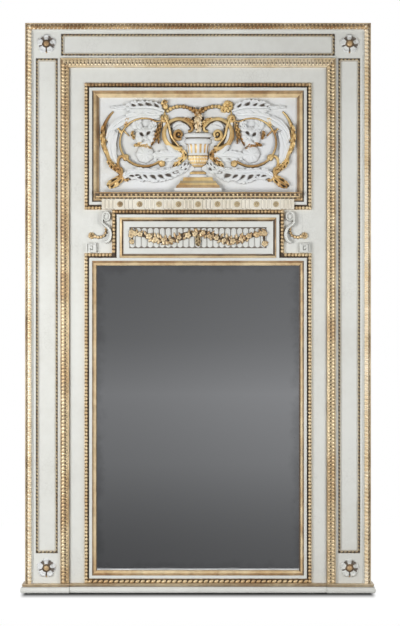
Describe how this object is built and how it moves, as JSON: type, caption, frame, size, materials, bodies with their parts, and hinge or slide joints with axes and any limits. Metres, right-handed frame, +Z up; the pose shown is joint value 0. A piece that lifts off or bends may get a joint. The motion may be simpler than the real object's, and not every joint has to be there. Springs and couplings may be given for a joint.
{
  "type": "trumeau mirror",
  "caption": "Tall painted and parcel-gilt trumeau mirror: low mirror plate, garland frieze and carved urn relief in a panelled frame on a plinth.",
  "frame": {"origin": "middle of the plinth's underside, at half the overall depth", "axes": "+Z up, -Y out of the front towards the viewer, +Y into the wall, +X to the viewer's right"},
  "size_m": [1.42, 0.09, 2.28],
  "materials": {
    "paint": "aged matt grey-white paint on wood and gesso",
    "gilding": "antiqued gold leaf on wood and gesso",
    "aged_gilding": "dark, worn gilding",
    "bare_pine": "unfinished pine",
    "mirror_plate": "slightly aged silvered glass"
  },
  "bodies": {
    "root": {"bottom_garland_frame": "gilding", "bottom_mirror_frame": "gilding", "bottom_rail": "paint", "bottom_relief_frame": "gilding", "cross_rail": "paint", "egg_cornice": "gilding", "festoon": "gilding", "fluted_frieze": "paint", "garland": "gilding", "garland_panel": "paint", "inner_top_rail": "paint", "left_bracket": "paint", "left_bracket_husk": "gilding", "left_garland_frame": "gilding", "left_horn": "gilding", "left_inner_stile": "paint", "left_leaf_moulding": "gilding", "left_leaf_scroll": "paint", "left_lower_rosette": "paint", "left_mirror_frame": "gilding", "left_outer_moulding": "gilding", "left_pearl_frame": "aged_gilding", "left_plinth_block": "paint", "left_relief_frame": "gilding", "left_shoulder_moulding": "gilding", "left_stile": "paint", "left_upper_rosette": "paint", "lower_batten": "bare_pine", "lower_middle_batten": "bare_pine", "mirror_backboard": "bare_pine", "mirror_glass": "mirror_plate", "plinth_middle": "paint", "relief_panel": "paint", "right_bracket": "paint", "right_bracket_husk": "gilding", "right_garland_frame": "gilding", "right_horn": "gilding", "right_inner_stile": "paint", "right_leaf_moulding": "gilding", "right_leaf_scroll": "paint", "right_lower_rosette": "paint", "right_mirror_frame": "gilding", "right_outer_moulding": "gilding", "right_pearl_frame": "aged_gilding", "right_plinth_block": "paint", "right_relief_frame": "gilding", "right_shoulder_moulding": "gilding", "right_stile": "paint", "right_upper_rosette": "paint", "top_garland_frame": "gilding", "top_leaf_moulding": "gilding", "top_mirror_frame": "gilding", "top_outer_moulding": "gilding", "top_pearl_frame": "aged_gilding", "top_rail": "paint", "top_relief_frame": "gilding", "upper_batten": "bare_pine", "upper_middle_batten": "bare_pine", "urn": "paint", "urn_pedestal": "gilding"}
  },
  "joints": []
}
